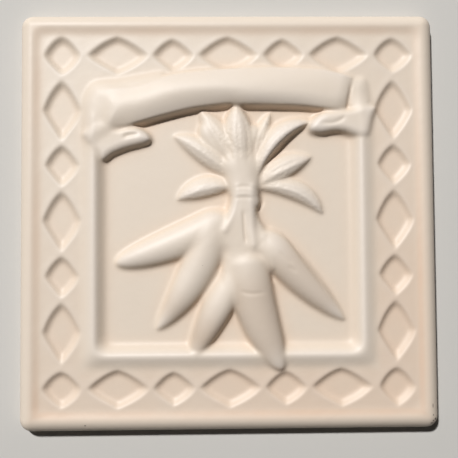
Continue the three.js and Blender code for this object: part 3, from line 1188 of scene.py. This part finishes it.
@dataclass(frozen=True)
class GlazeMap:
    """Colour layers on the face: where the glaze lies thick or warm, with painted shade in the
    hollows and a painted highlight on the crests; a pair is a start and a run.
    """

    hollow_reach: float = 3.0
    hollow_depth: float = 3.0
    channel: float = 69.5
    channel_width: float = 1.9
    channel_tint: tuple[float, float] = (0.4, 0.4)
    band_from: tuple[float, float] = (51.0, 5.0)
    band_to: tuple[float, float] = (73.5, -3.0)
    band_tint: float = 0.45
    turned: float = 0.6
    fades_over: float = 150.0

    def pooling_and_shading(self, face: PressedFace) -> np.ndarray:
        """Marks hollows above 0.5 and crests below it; the glaze paints hollows darker with pooled
        glaze and painted shade, and crests whiter with thin glaze and a painted highlight.
        """
        # Hollows get painted shade and crests a painted highlight in the glaze colour.
        hollow = face.softened(face.z, self.hollow_reach) - face.z
        return np.clip(0.5 + hollow / self.hollow_depth, 0.0, 1.0)

    def tint(self, face: PressedFace) -> np.ndarray:
        """Marks the pink tint by the rim and, weaker, on the band; it grows to the low right.

        Args:
            face: The pressed face.

        Returns:
            A layer of the face, from 0 to 1.
        """
        out = np.maximum(np.abs(face.x), np.abs(face.y))
        low_side = smooth_step(0.5 + (self.turned * face.x - face.y) / self.fades_over)
        on_band = risen(out, *self.band_from) * risen(out, *self.band_to)
        everywhere, low = self.channel_tint
        by_rim = np.exp(-(((out - self.channel) / self.channel_width) ** 2))
        return np.maximum(by_rim * (everywhere + low * low_side),
                          self.band_tint * on_band * low_side)


@dataclass(frozen=True)
class GlazedTile:
    """The whole tile: face, shoulder, sides, foot and back in one closed shell."""

    section: MouldedSection = MouldedSection()
    lozenges: LozengeBand = LozengeBand()
    ribbon: RibbonWork = RibbonWork()
    bunch: CarrotBunch = CarrotBunch()
    glaze: SatinGlaze = SatinGlaze()
    glaze_map: GlazeMap = GlazeMap()
    clay: BareEarthenware = BareEarthenware()
    even_cells: int = 286
    shoulder_steps: int = 9
    glaze_pooling: float = 0.7
    glaze_softening: float = 0.25
    mould_softness: float = 0.75
    foot_bevel: float = 0.4
    glaze_line: float = 0.9

    def press_face(self) -> PressedFace:
        """Presses the section, the pockets, the ribbon and the bunch.

        Returns:
            The finished face.
        """
        face = PressedFace()
        face.z = face.softened(self.section.heights(face.x, face.y), self.mould_softness)
        self.lozenges.press(face)
        for form in (*self.ribbon.forms, *self.bunch.forms):
            face.join(form)
        face.z = np.maximum(face.z, face.softened(face.z, self.glaze_pooling))
        for spot in (*self.ribbon.soft_spots, *self.bunch.soft_spots):
            share = spot.share(face.x, face.y)
            face.z += share * (face.softened(face.z, spot.spread) - face.z)
        for stroke in (*self.ribbon.creases, *self.bunch.strokes):
            face.carve(stroke)
        face.z = face.softened(face.z, self.glaze_softening)
        return face

    def grid_lines(self) -> np.ndarray:
        """Gives the places of the mesh's lines, even on the face and denser on the shoulder.

        Returns:
            The places from one edge to the other.
        """
        flat = TILE_HALF - self.section.shoulder_run
        over = self.section.shoulder_lines(self.shoulder_steps)
        return np.concatenate([-over[::-1], np.linspace(-flat, flat, self.even_cells + 1), over])

    def shell(self, face: PressedFace) -> bmesh.types.BMesh:
        """Builds the closed shell: a grid over the face, then sides, foot and back.

        Args:
            face: The pressed face.

        Returns:
            The shell, in metres, with the bare clay on the second material slot.
        """
        lines = self.grid_lines()
        cells = len(lines) - 1
        bm = bmesh.new()
        bmesh.ops.create_grid(bm, x_segments=cells, y_segments=cells, size=1.0)
        unit = np.array([v.co[:2] for v in bm.verts])
        x, y = lines[np.rint((unit + 1.0) / 2.0 * cells).astype(int)].T
        out = np.maximum(np.abs(x), np.abs(y))
        z = face.sampled(face.z, x, y) - self.section.fall(out)
        x, y = self.section.rounded(x, y)
        for vert, place in zip(bm.verts, np.stack([x, y, z], axis=1) * MM):
            vert.co = place
        logger.info("face of %d points, %.2f mm high", len(bm.verts), z.max())
        side_top = (RIM_Z - self.section.shoulder_drop) * MM
        self.turn_down(bm, side_top - self.glaze_line * MM, 1.0, bare=False)
        self.turn_down(bm, (self.glaze_line - self.foot_bevel) * MM, 1.0, bare=True)
        self.turn_down(bm, self.foot_bevel * MM, 1.0 - self.foot_bevel / TILE_HALF, bare=True)
        border = [edge for edge in bm.edges if edge.is_boundary]
        for back in bmesh.ops.contextual_create(bm, geom=border)["faces"]:
            back.material_index = 1
        bmesh.ops.recalc_face_normals(bm, faces=bm.faces)
        return bm

    def turn_down(self, bm: bmesh.types.BMesh, drop: float, draw_in: float, bare: bool) -> None:
        """Extrudes the shell's open border downwards.

        Args:
            bm: The open shell.
            drop: How far down the new border goes, in metres.
            draw_in: By how much the new border is scaled towards the middle.
            bare: Whether the new strip is unglazed.
        """
        border = [edge for edge in bm.edges if edge.is_boundary]
        made = bmesh.ops.extrude_edge_only(bm, edges=border)["geom"]
        lower = [item for item in made if isinstance(item, bmesh.types.BMVert)]
        bmesh.ops.translate(bm, verts=lower, vec=Vector((0.0, 0.0, -drop)))
        bmesh.ops.scale(bm, verts=lower, vec=Vector((draw_in, draw_in, 1.0)))
        for item in made:
            if isinstance(item, bmesh.types.BMFace):
                item.material_index = 1 if bare else 0

    def mark(self, mesh: bpy.types.Mesh, face: PressedFace) -> None:
        """Writes the layers that the glaze reads: pooling and shading (pooled glaze with painted
        shade in the hollows, painted highlight on the crests), channel, foliage and the carrots'
        darkening.

        Args:
            mesh: The tile's mesh.
            face: The pressed face.
        """
        places = np.empty(len(mesh.vertices) * 3)
        mesh.vertices.foreach_get("co", places)
        x, y, _ = places.reshape(-1, 3).T / MM
        layers = {"pooling_and_shading": self.glaze_map.pooling_and_shading(face), "channel": self.glaze_map.tint(face),
                  "foliage": self.bunch.foliage(face), "darkening": self.bunch.darkened_layer(face)}
        for name, layer in layers.items():
            values = face.sampled(layer, x, y)
            attribute = mesh.attributes.new(name, "FLOAT", "POINT")
            attribute.data.foreach_set("value", values.astype(np.float32))

    def build(self) -> bpy.types.Object:
        """Makes the tile, dresses it and puts it in the place of its solid.

        Returns:
            The tile's object.
        """
        face = self.press_face()
        mesh = made_mesh(self.shell(face), "glazed_tile")
        mesh.shade_smooth()
        self.mark(mesh, face)
        mesh.materials.append(self.glaze.material())
        mesh.materials.append(self.clay.material())
        tile = placed("glazed_tile", mesh)
        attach(tile, "root")
        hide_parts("tile")
        return tile


# The studio

class Softness(Enum):
    """Sides of the lamps in metres, from nearly a sun to a wide cloth."""

    KEY = 0.26
    FILL = 1.6


@dataclass(frozen=True)
class Lamp:
    """An area lamp that points at the tile."""

    name: str
    softness: Softness
    watts: float
    azimuth: float
    elevation: float
    distance: float

    def hang(self) -> bpy.types.Object:
        """Hangs the lamp.

        Returns:
            The lamp's object.
        """
        data = bpy.data.lights.new(self.name, "AREA")
        data.shape = "DISK"
        data.size = self.softness.value
        data.energy = self.watts
        lamp = placed(self.name, data)
        around, up = math.radians(self.azimuth), math.radians(self.elevation)
        towards = Vector((math.cos(around) * math.cos(up), math.sin(around) * math.cos(up),
                          math.sin(up)))
        lamp.location = towards * self.distance
        lamp.rotation_euler = towards.to_track_quat("Z", "Y").to_euler()
        return lamp


@dataclass(frozen=True)
class Studio:
    """A plain pale floor, one key lamp from the upper left, a soft fill and a pale room."""

    floor_half: float = 1.5
    room: float = 0.03
    room_tone: str = "#F6F4F1"
    paper: MattPaper = MattPaper()
    lamps: tuple[Lamp, ...] = (
        Lamp("key_lamp", Softness.KEY, 81.0, 121.0, 54.0, 3.0),
        Lamp("fill_lamp", Softness.FILL, 0.3, -50.0, 65.0, 1.8),
    )

    def lay_floor(self) -> bpy.types.Object:
        """Lays the floor at the height of the tile's back.

        Returns:
            The floor's object.
        """
        bm = bmesh.new()
        bmesh.ops.create_grid(bm, x_segments=4, y_segments=4, size=self.floor_half)
        mesh = made_mesh(bm, "floor")
        mesh.materials.append(self.paper.material())
        floor = placed("floor", mesh)
        return floor

    def light(self) -> None:
        """Hangs the lamps and sets the room's light."""
        for lamp in self.lamps:
            lamp.hang()
        world = bpy.data.worlds.new("pale_room")
        world.use_nodes = True
        background = world.node_tree.nodes["Background"]
        background.inputs["Color"].default_value = from_srgb(self.room_tone)
        background.inputs["Strength"].default_value = self.room
        bpy.context.scene.world = world
        bpy.context.scene.view_settings.view_transform = "Standard"
        bpy.context.scene.view_settings.look = "Medium High Contrast"


@dataclass(frozen=True)
class DownwardCamera:
    """The camera that looks down on the tile, as the picture was taken."""

    place_mm: tuple[float, float, float] = (-4.83, -14.07, 260.81)
    turn: tuple[float, float, float] = (0.042386, -0.019069, -0.0074097)
    lens: float = 55.02
    sensor: float = 36.0
    nearest: float = 0.01

    def set_up(self) -> bpy.types.Object:
        """Sets the camera up and makes it the scene's.

        Returns:
            The camera's object.
        """
        data = bpy.data.cameras.new("camera")
        data.lens = self.lens
        data.sensor_width = self.sensor
        data.clip_start = self.nearest
        camera = placed("camera", data)
        camera.location = Vector(self.place_mm) * MM
        camera.rotation_euler = Euler(self.turn)
        bpy.context.scene.camera = camera
        return camera


def main() -> None:
    """Builds the tile and the studio round it."""
    logging.basicConfig(level=logging.INFO, format="%(name)s: %(message)s")
    tile = GlazedTile().build()
    logger.info("%s: %d faces", tile.name, len(tile.data.polygons))
    studio = Studio()
    floor = studio.lay_floor()
    logger.info("%s laid", floor.name)
    studio.light()
    logger.info("%d lamps hung", len(studio.lamps))
    camera = DownwardCamera().set_up()
    logger.info("%s set up", camera.name)


if __name__ == "__main__":
    main()
